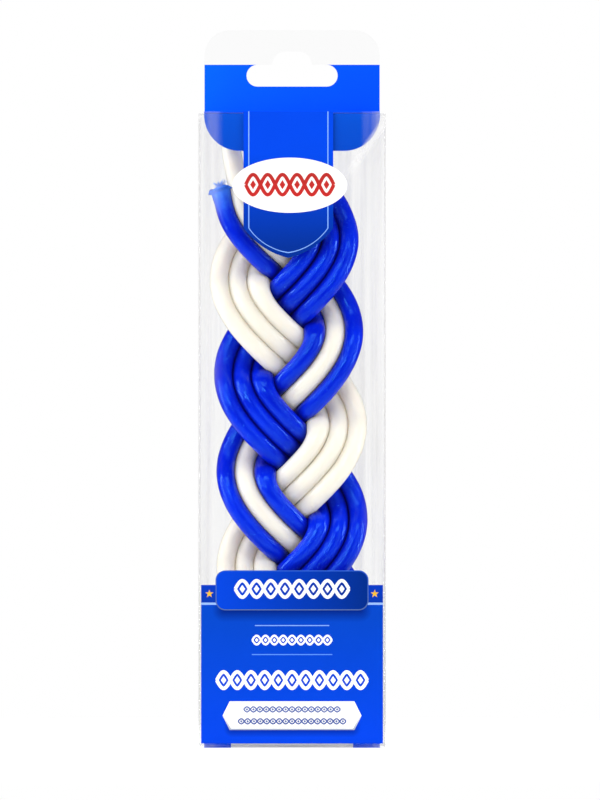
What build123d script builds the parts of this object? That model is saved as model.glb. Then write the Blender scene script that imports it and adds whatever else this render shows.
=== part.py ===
from build123d import *
import math
import os

# Boxed havdalah candle: nine wax-coated wicks plaited in three groups of three,
# standing in a clear folding box with a hang tab. Front faces -Y, up is +Z,
# the origin is the middle of the box's foot. Millimetres.

# Folding box
box_width = 66.0
box_depth = 26.0
box_height = 224.0
sheet = 0.4
fold_radius = 1.0
crease_gap = 0.3
relief_width = 2.0
relief_height = 2.8
glue_flap_width = 11.0

# End closures, the same at the top and the foot
closure_play = 2.05
tuck_length = 13.9
tuck_corner = 12.6
tuck_slack = 1.0
dust_length = 12.0
dust_front_root = 1.6
dust_front_tip = 8.4
dust_back_root = 1.6
dust_back_tip = 7.8
blank_width = 43.0

# Hang tab and its slot
tab_height = 29.1
tab_corner = 9.0
ply_height = 16.9
brim_width = 32.2
brim_height = 7.7
crown_width = 14.0
crown_rise = 4.7

# Printed front
ink = 0.1
pennant_centre = -1.3
pennant_width = 31.6
pennant_length = 51.6
pennant_taper = 10.5
pennant_bulge = 1.7
stripe_inset = 1.7
stripe_width = 0.35
badge_shift = -0.8
badge_drop = 26.0
badge_radii = (20.2, 9.7)
band_bottom = 1.5
band_top = 57.3
strip_height = 6.2
rule_height = 0.8
title_margin = 5.05
title_height = 14.1
title_middle = 55.4
title_corner = 3.5
title_line = 0.4
thin_rule = 0.35
thin_rules = [(43.0, 26.2), (32.8, 28.3)]
caption_width = 48.9
caption_shoulder = 43.9
caption_height = 10.1
caption_middle = 11.3
caption_line = 0.5
star_radius = 1.5
star_inner = 0.6
star_inset = 2.9
star_points = 5

# Plaited candle. A tight plait's swing and period are counted in strand widths.
strand_width = 6.2
strand_sides = 12
strand_play = 0.3
reach_in_strands = 2.71
period_in_strands = 16.21
plait_snap = 3.5
turn_drop = 59.8
sway_shift = 3.0
sway_low = 95.0
sway_high = 195.0
bend_phases = [9, 30, 60, 81]
free_phase = -340
candle_foot = 1.5
foot_margin = 9.0
wick_width = 1.6
wick_play = 0.05
wick_stub = 4.0

# Spacing and swing of the plait
strand_pitch = strand_width + strand_play
plait_depth = strand_pitch
plait_reach = reach_in_strands * strand_width
plait_period = period_in_strands * strand_width

# Heights of the left turns of the three groups, a third of a period apart
turn_white = box_height - turn_drop
turn_blue = turn_white - plait_period / 3
turn_mixed = turn_blue - plait_period / 3

# Name, height of a left turn, place in the group, phase of the cut top in degrees
strands = [
    ("white_strand_left", turn_white, -1, -104),
    ("white_strand_middle", turn_white, 0, -110),
    ("white_strand_right", turn_white, 1, -118),
    ("blue_strand_left", turn_blue, -1, -240),
    ("blue_strand_middle", turn_blue, 0, -246),
    ("blue_strand_right", turn_blue, 1, -240),
    ("mixed_strand_blue_left", turn_mixed, -1, -356),
    ("mixed_strand_white", turn_mixed, 0, -411),
    ("mixed_strand_blue_right", turn_mixed, 1, -352),
]

# Derived places
inner_depth = box_depth - 2 * sheet
flat_width = box_width - 2 * fold_radius
closure_width = box_width - 2 * closure_play
title_width = flat_width - 2 * title_margin
star_offset = flat_width / 2 - star_inset
pennant_point = box_height - pennant_length
pennant_shoulder = pennant_point + pennant_taper
badge_centre = (badge_shift, box_height - badge_drop)
side_depth = box_depth - 2 * fold_radius
crease_round = sheet / 2
fold_inset = sheet + crease_gap + crease_round
wall_inset = fold_inset + crease_round + crease_gap
tuck_face = inner_depth / 2 - tuck_slack
tuck_axis = tuck_face - crease_round
ply_face = inner_depth / 2 - sheet
hinge_axis = ply_face - crease_gap - crease_round
front_plane = Plane.XZ.offset(box_depth / 2)

os.makedirs("parts", exist_ok=True)


def save(piece, name):
    piece.part.label = name
    export_step(piece.part, "parts/" + name + ".step")


# Sleeve: one clear sheet folded round, split at its creases
def wall_ring():
    with BuildSketch() as ring:
        RectangleRounded(box_width, box_depth, fold_radius)
        RectangleRounded(
            box_width - 2 * sheet, inner_depth, fold_radius - sheet, mode=Mode.SUBTRACT
        )
    return ring.sketch


def broad_wall(side, name):
    with BuildPart() as wall:
        with BuildSketch():
            add(wall_ring())
            with Locations((0, side * (box_depth - fold_radius) / 2)):
                Rectangle(box_width, fold_radius, mode=Mode.INTERSECT)
        extrude(amount=box_height)
        with BuildSketch(Plane.XZ):
            for hand in (-1, 1):
                edge = hand * box_width / 2
                with BuildLine():
                    Polyline(
                        (edge, box_height),
                        (edge - hand * relief_width, box_height),
                        (edge, box_height - relief_height),
                        close=True,
                    )
                make_face()
        extrude(amount=box_depth, both=True, mode=Mode.SUBTRACT)
    save(wall, name)


broad_wall(-1, "front_panel")
broad_wall(1, "back_panel")


def side_wall(hand, name):
    with BuildPart() as wall:
        with BuildSketch(Plane.XY.offset(wall_inset)):
            with Locations((hand * (box_width - sheet) / 2, 0)):
                Rectangle(sheet, side_depth)
        extrude(amount=box_height - 2 * wall_inset)
    save(wall, name)


side_wall(-1, "left_panel")
side_wall(1, "right_panel")

with BuildPart() as glue_flap:
    with BuildSketch(Plane.XY.offset(wall_inset)):
        with Locations((-(box_width - 3 * sheet) / 2, side_depth / 2)):
            Rectangle(sheet, glue_flap_width, align=(Align.CENTER, Align.MAX))
    extrude(amount=box_height - 2 * wall_inset)
    free_corners = glue_flap.edges().filter_by(Axis.X).group_by(Axis.Y)[0]
    chamfer(free_corners, glue_flap_width / 2)
save(glue_flap, "glue_flap")


# Hang tab: clear upper sheet and the blue ply glued on its front, both slotted
def hang_slot():
    brim_top = box_height + ply_height
    brim_middle = brim_top - brim_height / 2
    half = crown_width / 2
    flat = half - crown_rise
    with BuildSketch() as slot:
        with Locations((0, brim_middle)):
            SlotOverall(brim_width, brim_height)
        with BuildLine():
            CenterArc((-flat, brim_top), crown_rise, 90, 90)
            Polyline((-half, brim_top), (-half, brim_middle), (half, brim_middle), (half, brim_top))
            CenterArc((flat, brim_top), crown_rise, 0, 90)
            Line((flat, brim_top + crown_rise), (-flat, brim_top + crown_rise))
        make_face()
    return slot.sketch


with BuildPart() as hang_tab:
    with BuildSketch(Plane.XZ.offset(-box_depth / 2)) as tab_outline:
        with Locations((0, box_height)):
            Rectangle(closure_width, tab_height, align=(Align.CENTER, Align.MIN))
        fillet(tab_outline.vertices().group_by(Axis.Y)[-1], tab_corner)
        add(hang_slot(), mode=Mode.SUBTRACT)
    extrude(amount=sheet)
save(hang_tab, "hang_tab")

with BuildPart() as tab_ply:
    with BuildSketch(Plane.XZ.offset(-inner_depth / 2)):
        with Locations((0, box_height + crease_gap)):
            Rectangle(closure_width, ply_height - crease_gap, align=(Align.CENTER, Align.MIN))
        add(hang_slot(), mode=Mode.SUBTRACT)
    extrude(amount=sheet)
save(tab_ply, "tab_ply")


# Closures: a hinged panel, its tuck flap and two dust flaps at each end.
# The hinged edge of each piece is rounded about its crease line.
def closure_field(width):
    with BuildSketch() as field:
        with Locations((0, hinge_axis)):
            Rectangle(width, hinge_axis + tuck_face, align=(Align.CENTER, Align.MAX))
    return field.sketch


with BuildPart() as bottom_blank:
    with BuildSketch(Plane.XY):
        add(closure_field(blank_width))
    extrude(amount=ink)
save(bottom_blank, "bottom_blank")


def closure_panel(level, name, pocket):
    with BuildPart() as panel:
        with BuildSketch(Plane.XY.offset(level)):
            add(closure_field(closure_width))
        extrude(amount=crease_round, both=True)
        with Locations((0, hinge_axis, level)):
            Cylinder(crease_round, closure_width, rotation=(0, 90, 0))
        if pocket:
            add(bottom_blank.part, mode=Mode.SUBTRACT)
    save(panel, name)


closure_panel(box_height - crease_round, "lid_panel", False)
closure_panel(crease_round, "bottom_panel", True)


def tuck_flap(root, way, name):
    with BuildPart() as flap:
        with BuildSketch(Plane.XZ.offset(tuck_axis)) as outline:
            with Locations((0, root + way * (tuck_length - fold_inset) / 2)):
                Rectangle(closure_width, tuck_length - fold_inset)
            tips = outline.vertices().group_by(Axis.Y)
            fillet(tips[0] if way < 0 else tips[-1], tuck_corner)
        extrude(amount=crease_round, both=True)
        with Locations((0, -tuck_axis, root)):
            Cylinder(crease_round, closure_width, rotation=(0, 90, 0))
    save(flap, name)


tuck_flap(box_height - fold_inset, -1, "tuck_flap")
tuck_flap(fold_inset, 1, "bottom_tuck_flap")


def dust_flap(level, hand, name):
    root = hand * (box_width / 2 - crease_round)
    tip = root - hand * dust_length
    front = -tuck_axis + dust_front_root
    back = hinge_axis - dust_back_root
    with BuildPart() as flap:
        with BuildSketch(Plane.XY.offset(level)):
            with BuildLine():
                Polyline(
                    (root, front),
                    (root, back),
                    (tip, hinge_axis - dust_back_tip),
                    (tip, -tuck_axis + dust_front_tip),
                    close=True,
                )
            make_face()
        extrude(amount=crease_round, both=True)
        with Locations((root, (front + back) / 2, level)):
            Cylinder(crease_round, back - front, rotation=(90, 0, 0))
    save(flap, name)


for end, level in (("top", box_height - fold_inset), ("bottom", fold_inset)):
    dust_flap(level, -1, end + "_dust_flap_left")
    dust_flap(level, 1, end + "_dust_flap_right")


# Print on the front panel, each colour its own film laid edge to edge
def pennant(inset):
    half = pennant_width / 2 - inset
    with BuildSketch() as shape:
        with BuildLine():
            Polyline(
                (pennant_centre - half, pennant_shoulder),
                (pennant_centre - half, box_height),
                (pennant_centre + half, box_height),
                (pennant_centre + half, pennant_shoulder),
            )
            for hand in (-1, 1):
                SagittaArc(
                    (pennant_centre + hand * half, pennant_shoulder),
                    (pennant_centre, pennant_point + inset),
                    hand * pennant_bulge,
                )
        make_face()
    return shape.sketch


def pinstripe():
    with BuildSketch() as shape:
        add(pennant(stripe_inset))
        add(pennant(stripe_inset + stripe_width), mode=Mode.SUBTRACT)
        add(badge(), mode=Mode.SUBTRACT)
    return shape.sketch


def badge():
    with BuildSketch() as shape:
        with Locations(badge_centre):
            Ellipse(*badge_radii)
    return shape.sketch


def title(inset):
    with BuildSketch() as shape:
        with Locations((0, title_middle)):
            RectangleRounded(
                title_width - 2 * inset, title_height - 2 * inset, title_corner - inset
            )
    return shape.sketch


def caption(inset):
    tip = caption_width / 2 - inset
    shoulder = caption_shoulder / 2 - inset
    low = caption_middle - caption_height / 2 + inset
    high = caption_middle + caption_height / 2 - inset
    with BuildSketch() as shape:
        with BuildLine():
            Polyline(
                (tip, caption_middle),
                (shoulder, high),
                (-shoulder, high),
                (-tip, caption_middle),
                (-shoulder, low),
                (shoulder, low),
                close=True,
            )
        make_face()
    return shape.sketch


def stars():
    corners = []
    for i in range(2 * star_points):
        turn = math.pi / 2 + i * math.pi / star_points
        radius = star_inner if i % 2 else star_radius
        corners.append((radius * math.cos(turn), radius * math.sin(turn)))
    with BuildSketch() as shape:
        middle = band_top - strip_height / 2
        with Locations((-star_offset, middle), (star_offset, middle)):
            Polygon(*corners, align=None)
    return shape.sketch


def rules():
    with BuildSketch() as shape:
        with Locations((0, band_top - strip_height - rule_height / 2)):
            Rectangle(flat_width, rule_height)
        for height, width in thin_rules:
            with Locations((0, height)):
                Rectangle(width, thin_rule)
        add(title(0), mode=Mode.SUBTRACT)
    return shape.sketch


def dark_strip():
    with BuildSketch() as shape:
        with Locations((0, band_top)):
            Rectangle(flat_width, strip_height, align=(Align.CENTER, Align.MAX))
        add(title(0), mode=Mode.SUBTRACT)
        add(stars(), mode=Mode.SUBTRACT)
    return shape.sketch


def film(shapes, holes, name):
    with BuildPart() as layer:
        with BuildSketch(front_plane):
            for shape in shapes:
                add(shape)
            for hole in holes:
                add(hole, mode=Mode.SUBTRACT)
        extrude(amount=ink)
    save(layer, name)


with BuildSketch() as band_field:
    with Locations((0, band_bottom)):
        Rectangle(flat_width, band_top - band_bottom, align=(Align.CENTER, Align.MIN))

film([pennant(0)], [pinstripe(), badge()], "pennant_print")
film([pinstripe()], [], "pennant_pinstripe")
film([badge()], [], "oval_badge")
film([band_field.sketch], [dark_strip(), rules(), title(0), caption(0), stars()], "base_band")
film([dark_strip()], [], "dark_strip")
film([rules()], [], "band_rules")
film([stars()], [], "gold_stars")
film([title(0)], [title(title_line)], "title_border")
film([title(title_line)], [], "title_plate")
film([caption(0)], [caption(caption_line)], "caption_border")
film([caption(caption_line)], [], "caption_plate")


# Candle: the plait's centre lines by formula, phase 0 at a left turn and growing downward
def sway(height):
    part = min(max((height - sway_low) / (sway_high - sway_low), 0), 1)
    return -sway_shift * part * part * (3 - 2 * part)


def plait_point(left_turn, place, phase):
    fall = plait_period / (2 * math.pi)
    run = plait_reach * math.sin(phase)
    length = math.hypot(run, fall)
    height = left_turn - fall * phase + place * strand_pitch * run / length
    across = -plait_reach * math.cos(phase) + place * strand_pitch * fall / length
    wave = math.sin(2 * phase)
    depth = -plait_depth * wave * (1 + plait_snap) / (1 + plait_snap * abs(wave))
    return Vector(across + sway(height), depth, height)


# Above its last crossing a strand runs straight on as a free end
def strand_point(left_turn, place, phase):
    leave = math.radians(free_phase)
    if phase >= leave:
        return plait_point(left_turn, place, phase)
    step = math.radians(1)
    start = plait_point(left_turn, place, leave)
    slope = (plait_point(left_turn, place, leave + step) - start) / step
    return start + slope * (phase - leave)


def strand_path(left_turn, place, top):
    finish = (left_turn - candle_foot + foot_margin) * 360 / plait_period
    phases = [top]
    quarter = math.floor(top / 90) * 90
    while quarter < finish:
        for bend in bend_phases:
            if top + bend_phases[0] / 2 < quarter + bend < finish:
                phases.append(quarter + bend)
        quarter += 90
    return [strand_point(left_turn, place, math.radians(phase)) for phase in phases]


# Planes through the bends of a path, each halving the angle between the straight runs it parts
def mitre_planes(path):
    runs = [(after - before).normalized() for before, after in zip(path, path[1:])]
    planes = []
    for here, before, after in zip(path, runs[:1] + runs, runs + runs[-1:]):
        ahead = (before + after).normalized()
        planes.append(Plane(origin=here, x_dir=Vector(0, 1, 0).cross(ahead), z_dir=ahead))
    return planes


# Sections of a cord at its bends. Between two bends the cord is a straight prism,
# so each corner of the first section is carried along the run to the next plane.
def cord_sections(path, radius, sides):
    planes = mitre_planes(path)
    sections = []
    corners = []
    for i in range(sides):
        turn = (i + 0.5) * 2 * math.pi / sides
        corners.append(planes[0].from_local_coords((radius * math.cos(turn), radius * math.sin(turn))))
    for plane, before in zip(planes, path[:1] + path):
        run = plane.origin - before
        if run.length > 0:
            way = run.normalized()
            rate = way.dot(plane.z_dir)
            corners = [c + way * ((plane.origin - c).dot(plane.z_dir) / rate) for c in corners]
        flat = [plane.to_local_coords(corner) for corner in corners]
        with BuildSketch(plane) as section:
            Polygon(*[(point.X, point.Y) for point in flat], align=None)
        sections.append(section.sketch.face())
    return sections


foot_plane = Plane.XY.offset(candle_foot)
wick_radius = wick_width / math.sqrt(2)
bore_radius = (wick_width + 2 * wick_play) / math.sqrt(2)

for name, left_turn, place, top in strands:
    path = strand_path(left_turn, place, top)
    tip = path[0] + (path[0] - path[1]).normalized() * wick_stub

    with BuildPart() as strand:
        loft(cord_sections(path, strand_width / 2, strand_sides), ruled=True)
        loft(cord_sections(path, bore_radius, 4), ruled=True, mode=Mode.SUBTRACT)
        split(bisect_by=foot_plane, keep=Keep.TOP)
    save(strand, name)

    with BuildPart() as wick:
        loft(cord_sections([tip] + path, wick_radius, 4), ruled=True)
        split(bisect_by=foot_plane, keep=Keep.TOP)
    save(wick, name.replace("strand", "wick"))
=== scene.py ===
# %% [markdown]
# A havdalah candle in its clear hang box
#
# The candle is a flat plait of nine wax-coated wicks, lit at the close of the Sabbath so that several
# wicks burn as one torch. It is sold in a folded clear box with a blue lid, a hang tab and a printed front.
# This lesson starts from the engineering model, where every piece already has its place, its size and
# its hinge. Here we give each piece its finish: soft wax, braided cotton, clear film and printed ink.

import bpy
import math
import random
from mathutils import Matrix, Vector, noise


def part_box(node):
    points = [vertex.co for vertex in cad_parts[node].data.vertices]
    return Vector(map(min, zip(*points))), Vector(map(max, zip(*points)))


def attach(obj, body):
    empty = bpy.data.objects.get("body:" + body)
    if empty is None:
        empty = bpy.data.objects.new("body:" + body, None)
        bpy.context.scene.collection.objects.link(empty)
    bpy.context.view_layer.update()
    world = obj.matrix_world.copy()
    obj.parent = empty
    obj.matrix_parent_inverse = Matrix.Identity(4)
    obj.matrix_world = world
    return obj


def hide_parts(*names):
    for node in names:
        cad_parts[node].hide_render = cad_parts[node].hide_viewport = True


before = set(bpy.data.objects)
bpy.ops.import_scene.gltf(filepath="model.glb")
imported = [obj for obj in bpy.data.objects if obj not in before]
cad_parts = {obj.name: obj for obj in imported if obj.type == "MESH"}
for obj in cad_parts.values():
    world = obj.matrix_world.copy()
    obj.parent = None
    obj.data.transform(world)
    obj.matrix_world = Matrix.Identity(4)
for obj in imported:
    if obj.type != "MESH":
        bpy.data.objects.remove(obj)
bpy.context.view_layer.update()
scene = bpy.context.scene
MM = 0.001

# %% [markdown]
# Colours are given as they look on a screen, from 0 to 255. Shaders work in linear light, where
# half as bright means half the number, so one small helper converts them.


# %% Colour helper
def screen(red, green, blue):
    linear = []
    for value in (red, green, blue):
        value = value / 255
        linear.append(value / 12.92 if value <= 0.04045 else ((value + 0.055) / 1.055) ** 2.4)
    return (*linear, 1.0)


WHITE = (1.0, 1.0, 1.0, 1.0)
print("middle grey in linear light:", round(screen(128, 128, 128)[0], 3))

# %% [markdown]
# A Blender finish is a graph of nodes. Typing every node and link in full would bury the idea behind the
# finish, so this helper starts a graph and gives short words for what we do most: add a node, do sums,
# stretch a pattern, turn one range of values into another, and mix colours.


# %% Material helper
class Paint:
    """A new material, or the studio's air, with short words for adding and joining nodes."""

    def __init__(self, name, owners=bpy.data.materials, output="OutputMaterial"):
        self.owner = owners.new(name)
        self.owner.use_nodes = True
        self.tree = self.owner.node_tree
        self.tree.nodes.clear()
        self.output = self.add(output)

    def feed(self, socket, value):
        if isinstance(value, bpy.types.NodeSocket):
            self.tree.links.new(value, socket)
        else:
            socket.default_value = value

    def add(self, kind, inputs=None, **settings):
        node = self.tree.nodes.new("ShaderNode" + kind)
        for key, value in settings.items():
            setattr(node, key, value)
        for key, value in (inputs or {}).items():
            self.feed(node.inputs[key], value)
        return node

    def place(self):
        return self.add("TexCoord").outputs["Object"]

    def part(self, vector, axis):
        return self.add("SeparateXYZ", {"Vector": vector}).outputs[axis]

    def along(self, vector, direction):
        node = self.add("VectorMath", {0: vector, 1: direction}, operation="DOT_PRODUCT")
        return node.outputs["Value"]

    def stretched(self, vector, scale):
        return self.add("Mapping", {"Vector": vector, "Scale": scale}).outputs[0]

    def cloudy(self, vector, scale, detail=2.0, roughness=0.5):
        inputs = {"Vector": vector, "Scale": scale, "Detail": detail, "Roughness": roughness}
        return self.add("TexNoise", inputs).outputs["Fac"]

    def maths(self, operation, first, second=0.0, clamp=False):
        node = self.add("Math", {0: first, 1: second}, operation=operation, use_clamp=clamp)
        return node.outputs[0]

    def remap(self, value, low, high, first=0.0, second=1.0, **settings):
        inputs = {"Value": value, 1: low, 2: high, 3: first, 4: second}
        return self.add("MapRange", inputs, **settings).outputs[0]

    def bump(self, height, strength, distance, under=None):
        inputs = {"Height": height, "Strength": strength, "Distance": distance}
        if under:
            inputs["Normal"] = under
        return self.add("Bump", inputs).outputs[0]

    def ramp(self, factor, stops):
        node = self.add("ValToRGB", {"Fac": factor})
        while len(node.color_ramp.elements) < len(stops):
            node.color_ramp.elements.new(0.5)
        for element, (position, colour) in zip(node.color_ramp.elements, stops):
            element.position = position
            element.color = colour
        return node.outputs["Color"]

    def mix(self, factor, first, second):
        node = self.add("Mix", data_type="RGBA")
        for index, value in ((0, factor), (6, first), (7, second)):
            self.feed(node.inputs[index], value)
        return node.outputs[2]

    def finish(self, shader):
        self.feed(self.output.inputs["Surface"], shader)
        return self.owner


def dress(material, *names):
    for name in names:
        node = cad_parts[name]
        node.data.materials.clear()
        node.data.materials.append(material)


print("words that Paint knows:", sum(callable(word) for word in vars(Paint).values()))

# %% [markdown]
# The box is one sheet of clear film, creased and folded round the candle. Long soft waves break up its
# shine, and the round folds look hazy because we see more film there. These are shallower than a hair, so
# patterns will do. Two more patterns are painted reflection: fine pale upright streaks beside the folds,
# and one slanting soft pale band in the upper right corner of the front.

# %% Patterns in the film
FILM_WAVES = (60.0, 60.0, 9.0)
REFLECTION_STREAKS = (260.0, 260.0, 7.0)
REFLECTION_STREAK_FADE = 6.0
SLANT_REFLECTION_ACROSS = (-0.815, 0.0, 0.58)
SLANT_REFLECTION_ALONG = (0.58, 0.0, 0.815)
SLANT_REFLECTION_OFFSET = 101.1
SLANT_REFLECTION_START = (172.0, 182.0)
SLANT_REFLECTION_HALF = (0.4, 1.9)


def film_ripple(p, place):
    waves = p.cloudy(p.stretched(place, FILM_WAVES), 1.0, detail=2.0, roughness=0.45)
    return p.bump(waves, strength=0.12, distance=0.6 * MM)


def film_bend(p, haze):
    sideways = p.part(p.add("NewGeometry").outputs["Normal"], "X")
    return p.remap(p.maths("ABSOLUTE", sideways), 0.15, 0.95, 0.0, haze)


def film_reflection_streaks(p, place, amount, clear_half):
    # Painted reflection: pale upright streaks beside the folds, carried by the milky cloud.
    reflection_streak = p.cloudy(p.stretched(place, REFLECTION_STREAKS), 1.0, detail=3.0)
    reflection_streak = p.remap(reflection_streak, 0.40, 0.70, 0.0, amount)
    off_middle = p.maths("ABSOLUTE", p.part(place, "X"))
    beside_fold = p.remap(off_middle, clear_half * MM, (clear_half + REFLECTION_STREAK_FADE) * MM)
    return p.maths("MULTIPLY", reflection_streak, beside_fold)


def film_slant_reflection(p, place, amount):
    # Painted reflection: a soft pale slanting band across the upper right corner of the front.
    off_line = p.maths("SUBTRACT", p.along(place, SLANT_REFLECTION_ACROSS), SLANT_REFLECTION_OFFSET * MM)
    off_line = p.maths("ABSOLUTE", off_line)
    band = p.remap(off_line, SLANT_REFLECTION_HALF[0] * MM, SLANT_REFLECTION_HALF[1] * MM, amount, 0.0)
    begun = p.remap(p.along(place, SLANT_REFLECTION_ALONG), SLANT_REFLECTION_START[0] * MM, SLANT_REFLECTION_START[1] * MM)
    return p.maths("MULTIPLY", band, begun)


print("film patterns: ripple, bend, streak, crease")

# %% [markdown]
# Glass shading would bend light through the two faces of a very thin sheet, which is slow and noisy. Film
# this thin hardly bends light at all, so we mix three simple shaders instead: one that lets light
# straight through, a thin milky cloud where the patterns ask for it, and a weak mirror on top. The mirror
# grows at a slant, as on glass, but is held low so that the edges don't turn dark.

# %% Clear film
MIRROR_MOST = 0.12


def clear_film(name, veil, reflection_streaks, haze, clear_half=24.0, painted_light=0.0):
    p = Paint(name)
    place = p.place()
    ripple = film_ripple(p, place)
    # The milky cover holds the painted reflection streaks, the painted slanting reflection, the hazy bends
    # and a veil.
    cover = film_reflection_streaks(p, place, reflection_streaks, clear_half)
    if painted_light:
        cover = p.maths("ADD", cover, film_slant_reflection(p, place, painted_light))
    cover = p.maths("ADD", cover, film_bend(p, haze))
    cover = p.maths("ADD", cover, veil, clamp=True)
    through = p.add("BsdfTransparent", {"Color": WHITE}).outputs[0]
    cloud = p.add("BsdfDiffuse", {"Color": screen(236, 235, 234)}).outputs[0]
    body = p.add("MixShader", {0: cover, 1: through, 2: cloud}).outputs[0]
    mirror = p.add("BsdfGlossy", {"Color": (0.6, 0.6, 0.6, 1.0), "Roughness": 0.06, "Normal": ripple})
    slant = p.add("Fresnel", {"IOR": 1.32, "Normal": ripple}).outputs[0]
    slant = p.maths("MINIMUM", slant, MIRROR_MOST)
    return p.finish(p.add("MixShader", {0: slant, 1: body, 2: mirror.outputs[0]}).outputs[0])


# Painted reflection on the front: upright streaks beside the folds and one slanting band.
film_front = clear_film("clear_film_front", veil=0.0, reflection_streaks=0.14, haze=0.18, painted_light=0.3)
film_back = clear_film("clear_film_back", veil=0.02, reflection_streaks=0.20, haze=0.05, clear_half=12.0)
film_side = clear_film("clear_film_side", veil=0.02, reflection_streaks=0.04, haze=0.0)
film_flap = clear_film("clear_film_flap", veil=0.06, reflection_streaks=0.10, haze=0.20)
film_tab = clear_film("clear_film_tab", veil=0.0, reflection_streaks=0.0, haze=0.10)
dress(film_front, "front_panel")
dress(film_back, "back_panel")
dress(film_side, "left_panel", "right_panel", "glue_flap")
for end in ("top", "bottom"):
    dress(film_flap, end + "_dust_flap_left", end + "_dust_flap_right")
dress(film_tab, "hang_tab")
print("clear pieces dressed")

# %% [markdown]
# The lid, its tuck flap, the ply on the tab and the foot are the same film with blue ink behind it. One flat
# colour would look painted by a computer, so all ink is built the same way: a colour that may shade from
# one tone to another across the piece, a slow drift, a fine print grain and a little gloss on top.

# %% Printed ink
INK_DRIFT = 55.0
INK_DOTS = 2600.0


def ink(name, first, second=None, axis="Z", span=(0.0, 1.0)):
    p = Paint(name)
    place = p.place()
    across = p.remap(p.part(place, axis), span[0] * MM, span[1] * MM)
    colour = p.ramp(across, [(0.0, first), (1.0, second or first)])
    drift = p.cloudy(place, INK_DRIFT, detail=2.0)
    dots = p.cloudy(place, INK_DOTS, detail=1.0)
    light = p.maths("ADD", p.maths("MULTIPLY", drift, 0.10), p.maths("MULTIPLY", dots, 0.05))
    light = p.remap(light, 0.0, 0.15, 0.93, 1.07)
    tone = p.add("HueSaturation", {"Color": colour, "Value": light}).outputs[0]
    skin = p.add("BsdfPrincipled", {"Base Color": tone, "Roughness": 0.28, "IOR": 1.45})
    p.feed(skin.inputs["Specular IOR Level"], 0.06)
    p.feed(skin.inputs["Normal"], p.bump(drift, strength=0.05, distance=0.3 * MM))
    return p, tone, skin


def plain_ink(name, *shades, **options):
    p, tone, skin = ink(name, *shades, **options)
    return p.finish(skin.outputs[0])


dress(plain_ink("white_field", screen(246, 244, 242)), "bottom_blank", "oval_badge")
print("ink ready, first used on the foot's white field and the badge")

# %% [markdown]
# Now every printed piece gets its own tone. A span says between which two heights, or between which two
# places from left to right, the first tone turns into the second, in millimetres.

# %% Printed pieces
dress(plain_ink("blue_ply", screen(0, 92, 255), screen(0, 77, 250), axis="X", span=(-30, 30)), "tab_ply")
dress(plain_ink("blue_lid", screen(0, 82, 245)), "lid_panel")
dress(plain_ink("blue_tuck", screen(2, 74, 200), screen(2, 82, 210), span=(210, 224)), "tuck_flap")
dress(plain_ink("pennant_blue", screen(2, 44, 138), screen(0, 66, 214), span=(176, 209)), "pennant_print")
dress(plain_ink("pale_line", screen(128, 172, 240)), "pennant_pinstripe")
dress(plain_ink("rule_line", screen(84, 136, 228), screen(140, 172, 228), span=(34, 50)), "band_rules")
dress(plain_ink("dark_band", screen(4, 50, 158), screen(4, 52, 176), span=(51, 57)), "dark_strip")
dress(plain_ink("star_gold", screen(236, 186, 52), screen(214, 160, 40), span=(52, 56)), "gold_stars")
title_blue = plain_ink("title_blue", screen(2, 62, 200), screen(0, 40, 126), axis="X", span=(-26, 26))
dress(title_blue, "title_plate")
dress(plain_ink("title_line", screen(76, 98, 148), screen(40, 84, 186), span=(48, 62)), "title_border")
dress(plain_ink("caption_cream", screen(252, 252, 244)), "caption_plate")
caption_edge = plain_ink("caption_edge", screen(150, 160, 176), screen(240, 240, 236), span=(6, 12))
dress(caption_edge, "caption_border")
print("printed pieces dressed")

# %% [markdown]
# The title plate and the caption plate look raised because a soft shadow is printed round them on the
# band. A lamp can't throw it, since the plates lie flat. So the shadow is worked out from place: how far
# a point lies outside a box set a little lower than the plate. Near the box the blue is darker,
# and a few millimetres away it is plain again.

# %% Base band with printed shadows
p, tone, skin = ink("base_blue", screen(0, 64, 214), screen(2, 64, 182), span=(4, 46))
band_place = p.place()


def beyond(axis, middle, half):
    away = p.maths("ABSOLUTE", p.maths("SUBTRACT", p.part(band_place, axis), middle * MM))
    return p.maths("MAXIMUM", p.maths("SUBTRACT", away, half * MM), 0.0)


def printed_shadow(half_width, half_height, middle, reach, strength):
    side = beyond("X", 0.0, half_width)
    up = beyond("Z", middle, half_height)
    far = p.maths("ADD", p.maths("MULTIPLY", side, side), p.maths("MULTIPLY", up, up))
    return p.remap(p.maths("SQRT", far), 0.0, reach * MM, strength, 0.0)


title_shadow = printed_shadow(24.0, 4.2, middle=52.6, reach=4.2, strength=0.85)
caption_shadow = printed_shadow(21.0, 3.0, middle=9.8, reach=3.2, strength=0.8)
shade = p.maths("MAXIMUM", title_shadow, caption_shadow)
p.feed(skin.inputs["Base Color"], p.mix(shade, tone, screen(0, 22, 104)))
dress(p.finish(skin.outputs[0]), "base_band")
print("printed shadows: title, caption")

# %% [markdown]
# At the foot the blue stops short of the middle, where a white field is left bare. The same edge
# runs round the fold, so the strip seen under the band is blue at both ends and white between. One
# material on both pieces keeps that edge in line across the fold.

# %% Foot panel with its white field
FIELD_HALF = 21.5
FIELD_SOFT = 0.1
p, tone, skin = ink("foot_blue", screen(0, 82, 236))
off_middle = p.maths("ABSOLUTE", p.part(p.place(), "X"))
inside = p.remap(off_middle, (FIELD_HALF - FIELD_SOFT) * MM, (FIELD_HALF + FIELD_SOFT) * MM, 1.0, 0.0)
p.feed(skin.inputs["Base Color"], p.mix(inside, tone, screen(240, 240, 240)))
dress(p.finish(skin.outputs[0]), "bottom_panel", "bottom_tuck_flap")
print("white field:", 2 * FIELD_HALF, "mm wide")

# %% [markdown]
# New pieces are meshes made from lists of points and faces. Each one has to ride on a body of the
# engineering model, so that it follows when the lid opens or the candle slides. One helper does all that.


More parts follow.
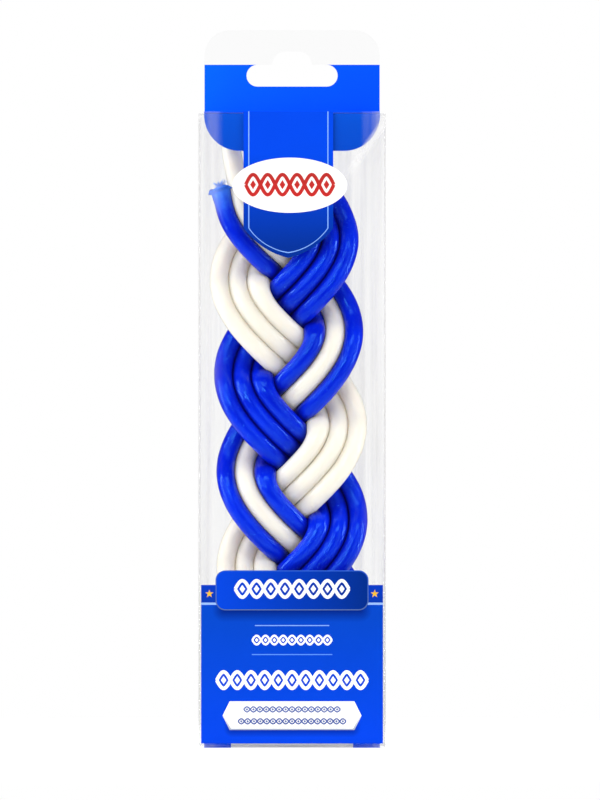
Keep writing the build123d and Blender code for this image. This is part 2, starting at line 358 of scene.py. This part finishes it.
# %% Piece helper
def add_piece(name, points, faces, material, body):
    mesh = bpy.data.meshes.new(name)
    mesh.from_pydata([Vector(point) * MM for point in points], [], faces)
    mesh.materials.append(material)
    piece = bpy.data.objects.new(name, mesh)
    scene.collection.objects.link(piece)
    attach(piece, body)
    return piece


def smooth(piece):
    for face in piece.data.polygons:
        face.use_smooth = True


FRONT = round(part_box("pennant_print")[0].y / MM, 3)
print("the print's face lies at y =", FRONT, "mm")

# %% [markdown]
# The badge, the plates and the band carry a plain ornament: a running twist of two lines, like a small
# plait, with a lozenge in every eye. It could be a pattern in the ink, but a crisp line a
# millimetre wide is easier to draw as a real strip of mesh, a hair in front of the print it lies on.

# %% Twist ornament
STEPS_A_LOOP = 24
LIFT = 0.03
OVER = 0.01
LOZENGE = 0.20


def add_strip(points, faces, path, line, depth):
    base = len(points)
    for i, (x, z) in enumerate(path):
        x_before, z_before = path[max(i - 1, 0)]
        x_after, z_after = path[min(i + 1, len(path) - 1)]
        size = math.hypot(x_after - x_before, z_after - z_before)
        x_side, z_side = -(z_after - z_before) / size, (x_after - x_before) / size
        for half in (-0.5 * line, 0.5 * line):
            points.append((x + x_side * half, depth, z + z_side * half))
    for i in range(len(path) - 1):
        j = base + 2 * i
        faces.append((j, j + 1, j + 3, j + 2))


def twist(name, x, middle, width, height, loops, line, material):
    points, faces = [], []
    steps = loops * STEPS_A_LOOP
    for sign in (-1, 1):
        path = []
        for i in range(steps + 1):
            t = i / steps
            rise = sign * 0.5 * (height - line) * math.sin(math.pi * loops * t)
            path.append((x + (t - 0.5) * width, middle + rise))
        add_strip(points, faces, path, line, FRONT - LIFT - OVER * sign)
    w, h = LOZENGE * width / loops, LOZENGE * height
    for i in range(loops):
        eye = x + ((i + 0.5) / loops - 0.5) * width
        base = len(points)
        for dx, dz in ((w, 0), (0, h), (-w, 0), (0, -h)):
            points.append((eye + dx, FRONT - LIFT, middle + dz))
        faces.append((base, base + 1, base + 2, base + 3))
    return add_piece(name, points, faces, material, "sleeve")


white_ink = plain_ink("ornament_white", screen(248, 248, 250), screen(232, 236, 246), span=(20, 62))
navy_ink = plain_ink("ornament_navy", screen(70, 88, 150), screen(96, 112, 168), span=(8, 15))
red_ink = plain_ink("ornament_red", screen(190, 40, 38), screen(170, 44, 40), span=(192, 204))
# Name, middle across, middle height, width, height, loops, line, ink
TWISTS = [
    ("title_twist", 0.0, 55.9, 40.0, 7.0, 8, 1.15, white_ink),
    ("upper_twist", 0.0, 37.9, 28.0, 3.8, 9, 0.7, white_ink),
    ("lower_twist", 0.0, 23.8, 53.0, 7.0, 11, 1.2, white_ink),
    ("caption_twist_high", 0.0, 13.5, 34.0, 2.3, 15, 0.5, navy_ink),
    ("caption_twist_low", 0.0, 9.3, 38.0, 2.3, 17, 0.5, navy_ink),
    ("badge_twist", -0.8, 198.2, 31.0, 8.4, 6, 1.3, red_ink),
]
for row in TWISTS:
    twist(*row)
print("ornaments:", len(TWISTS))

# %% [markdown]
# Now the candle. Each group of three strands swings from side to side like a sine wave, and the three
# groups are a third of a turn apart. A group going inward lies in front, a group going outward lies behind.
# Three groups obeying that one rule make a plait. The solids follow the same rule in straight lengths.
# Here it is followed finely, it dives a little more softly at each crossing, and the groups
# gather by a tenth near the top, as a hand does when it starts the plait.

# %% The plait's rule
PERIOD, REACH, PITCH = 100.5, 16.8, 6.5
DEPTH, SNAP = 5.5, 1.4
FALL = PERIOD / (2 * math.pi)
SWAY, SWAY_LOW, SWAY_RUN = -3.0, 95.0, 100.0
GATHER, GATHER_LOW, GATHER_RUN = 0.1, 172.0, 30.0


def ease(height, low, run):
    part = min(max((height - low) / run, 0.0), 1.0)
    return part * part * (3 - 2 * part)


def plait_point(left_turn, place, phase):
    run = REACH * math.sin(phase)
    length = math.hypot(run, FALL)
    height = left_turn - FALL * phase + place * PITCH * run / length
    across = -REACH * math.cos(phase) + place * PITCH * FALL / length
    across *= 1.0 - GATHER * ease(height, GATHER_LOW, GATHER_RUN)
    across += SWAY * ease(height, SWAY_LOW, SWAY_RUN)
    swing = math.sin(2 * phase)
    depth = -DEPTH * swing * (1 + SNAP) / (1 + SNAP * abs(swing))
    return Vector((across, depth, height))


print("one full swing falls", PERIOD, "mm")

# %% [markdown]
# The mixed group's three strands stand free of the plait at the top. Past their last crossing they run
# straight on and curl a little to the side, more the further they go. The table says at what height each
# strand's group turns, which of the three places the strand has in its group, and at which phase,
# in degrees, its top is cut.

# %% The strands' centre lines
FREE = math.radians(-340)
CURL, CURL_RUN = 1.5, math.radians(71)
STEP = math.radians(2.5)
LINE_END = 4.1
BOX_HEIGHT = round(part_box("front_panel")[1].z / MM, 3)
WHITE_TURN = BOX_HEIGHT - 59.8
BLUE_TURN = WHITE_TURN - PERIOD / 3
MIXED_TURN = BLUE_TURN - PERIOD / 3
STRANDS = [
    ("white_strand_left", WHITE_TURN, -1, -104),
    ("white_strand_middle", WHITE_TURN, 0, -110),
    ("white_strand_right", WHITE_TURN, 1, -118),
    ("blue_strand_left", BLUE_TURN, -1, -240),
    ("blue_strand_middle", BLUE_TURN, 0, -246),
    ("blue_strand_right", BLUE_TURN, 1, -240),
    ("mixed_strand_blue_left", MIXED_TURN, -1, -356),
    ("mixed_strand_white", MIXED_TURN, 0, -411),
    ("mixed_strand_blue_right", MIXED_TURN, 1, -352),
]
TORN_STRAND = "mixed_strand_blue_left"


def strand_point(left_turn, place, phase):
    if phase >= FREE:
        return plait_point(left_turn, place, phase)
    step = math.radians(1)
    start = plait_point(left_turn, place, FREE)
    slope = (plait_point(left_turn, place, FREE + step) - start) / step
    curl = ((FREE - phase) / CURL_RUN) ** 2
    return start + slope * (phase - FREE) + Vector((CURL * curl, 0, 0))


def centre_line(left_turn, place, top):
    """The strand's points from top to foot, and how much its wax is pressed into the turn at each."""
    line, press = [], []
    phase = math.radians(top)
    while True:
        point = strand_point(left_turn, place, phase)
        if point.z < LINE_END:
            return line, press
        line.append(point)
        inner = place * math.cos(phase) > 0 and phase > FREE
        press.append(math.cos(phase) ** 3 if inner else 0.0)
        phase += STEP


print("points on the longest strand:", max(len(centre_line(*row[1:])[0]) for row in STRANDS))

# %% [markdown]
# Each skin is a stack of rings set square to the centre line. To keep the rings from spinning, each one
# takes its side direction from the ring before. The ends are closed with smaller rings, which round
# them off. One strand's top is torn, so there the rings flare and the rim is ragged.

# %% Rings along a strand
ROUND_TOP = [(-0.9, 0.35), (-0.85, 0.62), (-0.55, 0.86), (-0.2, 0.97)]
TORN_TOP = [(-0.3, 0.3), (-0.7, 0.75), (-0.9, 1.08), (-0.6, 1.24), (-0.2, 1.28)]
ROUND_FOOT = [(0.35, 0.97), (0.75, 0.86), (1.0, 0.62), (1.05, 0.35)]


def frames_along(line):
    side = Vector((0, 1, 0))
    frames = []
    for i, here in enumerate(line):
        ahead = (line[min(i + 1, len(line) - 1)] - line[max(i - 1, 0)]).normalized()
        side = (side - ahead * side.dot(ahead)).normalized()
        frames.append((here, ahead, side, ahead.cross(side)))
    return frames


def cap(ring, dome):
    here, ahead, side, other = ring
    return [(here + ahead * shift, ahead, side, other, scale) for shift, scale in dome]


def ring_stack(line, top):
    rings = frames_along(line)
    return cap(rings[0], top) + [(*ring, 1.0) for ring in rings] + cap(rings[-1], ROUND_FOOT)


def ring_faces(base, rings, around):
    """The faces that join rings of points into a tube, with both ends closed."""
    faces = []
    for i in range(rings - 1):
        low, high = base + i * around, base + (i + 1) * around
        for j in range(around):
            k = (j + 1) % around
            faces.append((low + j, low + k, high + k, high + j))
    last = base + (rings - 1) * around
    faces.append(tuple(base + j for j in range(around - 1, -1, -1)))
    faces.append(tuple(last + j for j in range(around)))
    return faces


print("rings that close a torn top:", len(TORN_TOP))

# %% [markdown]
# A dipped strand is never a perfect tube. Its wax is thicker in one place and thinner in another, so a
# slow noise moves the skin in and out by a tenth of a millimetre or two. The inner strand of each turn
# is pressed into the gap beside it, which nearly closes the plait's eyelets. Sculpting would do this too,
# but a rule treats all nine strands alike. The skin also keeps its own length as a texture map.

# %% Strand skins
RADIUS = 3.4
PRESSED = 1.7
AROUND = 28
TORN_RINGS = 9
MAP_STEP = 0.02


def lump(centre, way, seed):
    slow = noise.noise(centre * 0.055 + way * 0.55 + seed) * 0.16
    return slow + noise.noise(centre * 0.30 + way * 1.3 + seed) * 0.05


def tear(centre, ahead, way, seed, left):
    rag = noise.noise(way * 2.4 + seed) * 1.8 + noise.noise(way * 6.0 + seed + centre) * 1.3
    return ahead * rag * left + way * (0.55 + rag * 0.35) * left


def strand_skin(name, line, press, material):
    torn = name == TORN_STRAND
    top = TORN_TOP if torn else ROUND_TOP
    stack = ring_stack(line, top)
    press = [0.0] * len(top) + press + [0.0] * len(ROUND_FOOT)
    seed = Vector((len(name) * 3.7, ord(name[0]) * 1.3, ord(name[-1]) * 0.9))
    points, travel = [], []
    for i, (centre, ahead, side, other, scale) in enumerate(stack):
        travel.append(travel[-1] + (centre - stack[i - 1][0]).length if i else 0.0)
        for j in range(AROUND):
            turn = 2 * math.pi * j / AROUND
            way = side * math.cos(turn) + other * math.sin(turn)
            squeeze = PRESSED * max(0.0, way.x * press[i]) ** 2
            point = centre + way * ((RADIUS + lump(centre, way, seed)) * scale + squeeze)
            if torn and i < TORN_RINGS:
                point += tear(centre, ahead, way, seed, 1 - i / TORN_RINGS)
            points.append(point)
    piece = add_piece(name + "_skin", points, ring_faces(0, len(stack), AROUND), material, "candle")
    smooth(piece)
    mesh = piece.data
    length_map = mesh.uv_layers.new(name="along")
    for loop in mesh.loops:
        ring, spot = divmod(loop.vertex_index, AROUND)
        length_map.data[loop.index].uv = (spot / AROUND, travel[ring] * MAP_STEP)
    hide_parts(name)
    return piece


print("a skin has", AROUND, "points to a ring")

# %% [markdown]
# Wax glows a little, because light goes in and comes out again nearby. That is subsurface scattering, with
# a reach of a few millimetres in white wax. Pale marks run along the strand, partly scuffs from handling and
# partly painted sheen that stands in for highlight streaks, so that pattern is laid out on the strand's own
# length. The cut top is paler still. Deep between strands the colour is painted darker as shade, where an
# ambient occlusion node finds little open air.


# %% Wax
def scuffs_and_sheen(p, place, streaky, amount):
    # Real scuffs and specks, partly painted sheen: on blue wax the pale colour stands in for highlight
    # streaks.
    marks = p.remap(streaky, 0.62, 0.76, 0.0, amount)
    specks = p.remap(p.cloudy(place, 1500.0), 0.66, 0.78, 0.0, amount)
    return p.maths("MAXIMUM", marks, specks, clamp=True)


def cut_top(p, length_map, streaky):
    ragged = p.maths("MULTIPLY", p.maths("SUBTRACT", streaky, 0.5), 0.16)
    return p.remap(p.maths("ADD", p.part(length_map, "Y"), ragged), 0.03, 0.19, 0.8, 0.0)


def wax_relief(p, place, length_map):
    pits = p.bump(p.cloudy(place, 420.0, detail=4.0), strength=0.22, distance=0.4 * MM)
    drawn = p.cloudy(p.stretched(length_map, (14.0, 16.0, 1.0)), 1.0, detail=5.0, roughness=0.65)
    return p.bump(drawn, strength=0.3, distance=0.6 * MM, under=pits)


def wax(name, painted_light, deep, face, scuff_and_sheen, scuff_and_sheen_amount, glow, gloss, shine):
    p = Paint(name)
    length_map = p.add("UVMap", uv_map="along").outputs[0]
    place = p.place()
    streaky = p.cloudy(p.stretched(length_map, (9.0, 7.0, 1.0)), 2.2, detail=6.0, roughness=0.7)
    wear_and_sheen = scuffs_and_sheen(p, place, streaky, scuff_and_sheen_amount)
    colour = p.ramp(p.cloudy(place, 70.0, detail=3.0), [(0.3, deep), (0.7, face)])
    # Scuffs, painted sheen and the paler cut top share one pale colour.
    colour = p.mix(p.maths("MAXIMUM", wear_and_sheen, cut_top(p, length_map, streaky)), colour, scuff_and_sheen)
    # Painted shade: the less open air round a point, the more its colour turns to the dark crease colour.
    open_air = p.add("AmbientOcclusion", {"Distance": 4 * MM}, samples=8).outputs["AO"]
    colour = p.mix(p.remap(open_air, 0.25, 0.85, 1.0, 0.0), colour, painted_light)
    finish = {
        "Base Color": colour,
        "Roughness": p.remap(wear_and_sheen, 0.0, 1.0, 0.12, 0.40),
        "IOR": 1.44,
        "Subsurface Weight": glow,
        "Subsurface Radius": (1.0, 0.9, 0.8),
        "Subsurface Scale": (1 + 4 * glow) * MM,
        "Specular IOR Level": gloss,
        "Specular Tint": shine,
        "Normal": wax_relief(p, place, length_map),
    }
    return p.finish(p.add("BsdfPrincipled", finish).outputs[0])


white_wax = wax(
    "white_wax",
    # painted shade between strands
    painted_light=screen(244, 236, 220),
    deep=screen(242, 236, 222),
    face=screen(242, 235, 223),
    scuff_and_sheen=screen(252, 247, 234),
    scuff_and_sheen_amount=0.3,
    glow=0.9,
    gloss=0.4,
    shine=WHITE,
)
blue_wax = wax(
    "blue_wax",
    # painted shade between strands
    painted_light=screen(0, 2, 128),
    deep=screen(0, 20, 196),
    face=screen(0, 38, 226),
    # light azure: scuffs and painted sheen of highlights
    scuff_and_sheen=screen(70, 136, 255),
    scuff_and_sheen_amount=0.55,
    glow=0.05,
    gloss=0.95,
    shine=(0.10, 0.46, 1.0, 1.0),
)
for name, left_turn, place, top in STRANDS:
    line, press = centre_line(left_turn, place, top)
    white = "white" in name
    skin = strand_skin(name, line, press, white_wax if white else blue_wax)
print("strands:", len(STRANDS))

# %% [markdown]
# Every strand has a braided cotton wick through it, and a few millimetres stand out at the top. Cotton is
# dull and fuzzy, so its finish is rough, with a soft sheen and a very fine bump. The dye in the blue wax
# has tinted the blue wicks.


# %% Cotton
def cotton(name, low, high):
    p = Paint(name)
    fuzz = p.cloudy(p.place(), 2400.0, detail=3.0)
    finish = {
        "Base Color": p.ramp(fuzz, [(0.35, low), (0.65, high)]),
        "Roughness": 0.85,
        "Sheen Weight": 0.3,
        "Normal": p.bump(fuzz, strength=0.5, distance=0.2 * MM),
    }
    return p.finish(p.add("BsdfPrincipled", finish).outputs[0])


white_cotton = cotton("white_cotton", screen(228, 222, 206), screen(250, 248, 240))
blue_cotton = cotton("blue_cotton", screen(90, 145, 250), screen(160, 198, 255))
print("cotton: white, blue")

# %% [markdown]
# A cut wick frays: its yarns spread and curl. Hair particles could do it, but they aren't meshes and would be
# lost in an export. So each wick end is a core of three twisted yarns and a spray of fibres, all thin
# round tubes that taper.
# The torn strand's wick is frayed the most. Each strand has its own seed, so its spray is always the same.

# %% Wick ends
YARNS, YARN_RADIUS, YARN_SPREAD, YARN_TURN = 3, 0.45, 0.42, 4.2
YARN_LOW, YARN_LENGTH, YARN_STEPS, YARN_SIDES = -1.5, 4.6, 14, 7
FIBRES, FIBRE_LEAN = 14, 0.6
FRAYED_FIBRES, FRAYED_LEAN = 44, 1.3
FIBRE_RADIUS, FIBRE_STEPS, FIBRE_SIDES = 0.14, 6, 5
TAPER = 0.35
FIRST_SEED = 40


def add_tube(points, faces, path, radius, around):
    base = len(points)
    for i, (here, ahead, side, other) in enumerate(frames_along(path)):
        thick = radius * (1 - TAPER * i / len(path))
        for j in range(around):
            turn = 2 * math.pi * j / around
            points.append(here + (side * math.cos(turn) + other * math.sin(turn)) * thick)
    faces += ring_faces(base, len(path), around)


def yarn_path(here, up, side, other, start):
    path = []
    for i in range(YARN_STEPS + 1):
        rise = YARN_LOW + YARN_LENGTH * i / YARN_STEPS
        turn = 2 * math.pi * (start + rise / YARN_TURN)
        path.append(here + up * rise + (side * math.cos(turn) + other * math.sin(turn)) * YARN_SPREAD)
    return path


def fibre_path(here, up, side, other, luck, most_lean):
    turn = luck.uniform(0, 2 * math.pi)
    lean = luck.uniform(0.1, most_lean)
    tall = luck.uniform(2.0, 3.3)
    curl = luck.uniform(-0.8, 0.8)
    way = side * math.cos(turn) + other * math.sin(turn)
    sweep = up.cross(way) * curl
    path = []
    for i in range(FIBRE_STEPS + 1):
        t = i / FIBRE_STEPS
        path.append(here + up * (0.6 + tall * t) + way * (0.3 + lean * 1.7 * t * t) + sweep * t * t)
    return path


for count, (name, left_turn, place, top) in enumerate(STRANDS):
    luck = random.Random(FIRST_SEED + count)
    here, ahead, side, other = frames_along(centre_line(left_turn, place, top)[0])[0]
    frayed = name == TORN_STRAND
    points, faces = [], []
    for k in range(YARNS):
        path = yarn_path(here, -ahead, side, other, k / YARNS)
        add_tube(points, faces, path, YARN_RADIUS, YARN_SIDES)
    for k in range(FRAYED_FIBRES if frayed else FIBRES):
        path = fibre_path(here, -ahead, side, other, luck, FRAYED_LEAN if frayed else FIBRE_LEAN)
        add_tube(points, faces, path, FIBRE_RADIUS, FIBRE_SIDES)
    white = "white" in name
    wick = name.replace("strand", "wick")
    tuft = add_piece(wick + "_tuft", points, faces, white_cotton if white else blue_cotton, "candle")
    smooth(tuft)
    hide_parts(wick)
print("wicks:", len(STRANDS))

# %% [markdown]
# The studio is a white sweep. A bent sheet of paper would do, but a flat floor that fades away into white
# air has no edge to hide. The floor takes a soft shadow near the box and glows a little to the camera
# only, so that it comes out white.

# %% Floor
bpy.ops.mesh.primitive_plane_add(size=3.0, location=(0, 0, -0.1 * MM))
floor = bpy.context.object
floor.name = "studio_floor"
p = Paint("studio_floor")
place = p.place()
tone = p.ramp(p.cloudy(place, 30.0), [(0.0, (0.94, 0.94, 0.94, 1.0)), (1.0, (0.98, 0.98, 0.98, 1.0))])
matt = p.add("BsdfDiffuse", {"Color": tone}).outputs[0]
strength = p.maths("MULTIPLY", p.add("LightPath").outputs["Is Camera Ray"], 0.4)
glow = p.add("Emission", {"Color": WHITE, "Strength": strength}).outputs[0]
paper = p.add("AddShader", {0: matt, 1: glow}).outputs[0]
away = p.add("VectorMath", {0: place}, operation="LENGTH").outputs["Value"]
fade = p.remap(away, 0.15, 0.6, interpolation_type="SMOOTHSTEP")
clear = p.add("BsdfTransparent").outputs[0]
floor.data.materials.append(p.finish(p.add("MixShader", {0: fade, 1: paper, 2: clear}).outputs[0]))
print("floor fades out between 0.15 and 0.6 m")

# %% [markdown]
# The air is white to the camera, and lights the object about half as brightly. Shiny things mirror it much
# darker, because white air in the wax and the film would wash out their colour. The lamps then make the
# highlights: big soft ones in front, and narrow ones that draw long thin lines on the wax.

# %% Air and lamps
p = Paint("studio", bpy.data.worlds, "OutputWorld")
rays = p.add("LightPath").outputs
seen = p.remap(rays["Is Camera Ray"], 0.0, 1.0, 0.52, 1.0)
mirrored = p.remap(rays["Is Glossy Ray"], 0.0, 1.0, 1.0, 0.12)
level = p.maths("MULTIPLY", seen, mirrored)
scene.world = p.finish(p.add("Background", {"Color": WHITE, "Strength": level}).outputs[0])

# Name, place, height of its aim, width, height, power
LAMPS = [
    ("key", (-0.7, -0.75, 0.5), 0.12, 0.6, 0.8, 3.3),
    ("top", (0.0, -0.75, 0.95), 0.14, 0.6, 0.25, 2.2),
    ("fill", (0.6, -0.8, 0.3), 0.12, 0.5, 0.8, 1.6),
    ("glint", (-0.28, -1.0, 0.5), 0.12, 0.04, 0.35, 2.0),
    ("left_strip", (-0.6, -0.1, 0.2), 0.13, 0.06, 0.6, 2.2),
    ("right_strip", (0.6, -0.1, 0.2), 0.13, 0.06, 0.6, 2.0),
    ("back", (0.0, 0.8, 0.6), 0.12, 0.6, 0.4, 1.2),
]
for name, place, aim, width, height, power in LAMPS:
    light = bpy.data.lights.new(name, "AREA")
    light.shape = "RECTANGLE"
    light.size = width
    light.size_y = height
    light.energy = power
    lamp = bpy.data.objects.new(name, light)
    lamp.location = place
    lamp.rotation_euler = (Vector((0, 0, aim)) - Vector(place)).to_track_quat("-Z", "Y").to_euler()
    scene.collection.objects.link(lamp)
print("lamps:", len(LAMPS))

# %% [markdown]
# The picture was taken straight from the front with a long lens, about level with the middle of the box.
# A camera six metres away with a matching long lens keeps upright edges upright.

# %% Camera
FAR = 6.0
VIEW_TALL = 281.6 * MM
VIEW_MIDDLE = (2.8 * MM, 122.4 * MM)
BOX_FRONT = -13.0 * MM
lens = bpy.data.cameras.new("camera")
lens.sensor_width = 36.0
lens.lens = lens.sensor_width * FAR / VIEW_TALL
lens.clip_start = 0.01
camera = bpy.data.objects.new("camera", lens)
camera.location = (VIEW_MIDDLE[0], BOX_FRONT - FAR, VIEW_MIDDLE[1])
camera.rotation_euler = (math.pi / 2, 0, 0)
scene.collection.objects.link(camera)
scene.camera = camera
scene.view_settings.view_transform = "Standard"
print("lens:", round(lens.lens), "mm")

# %% [markdown]
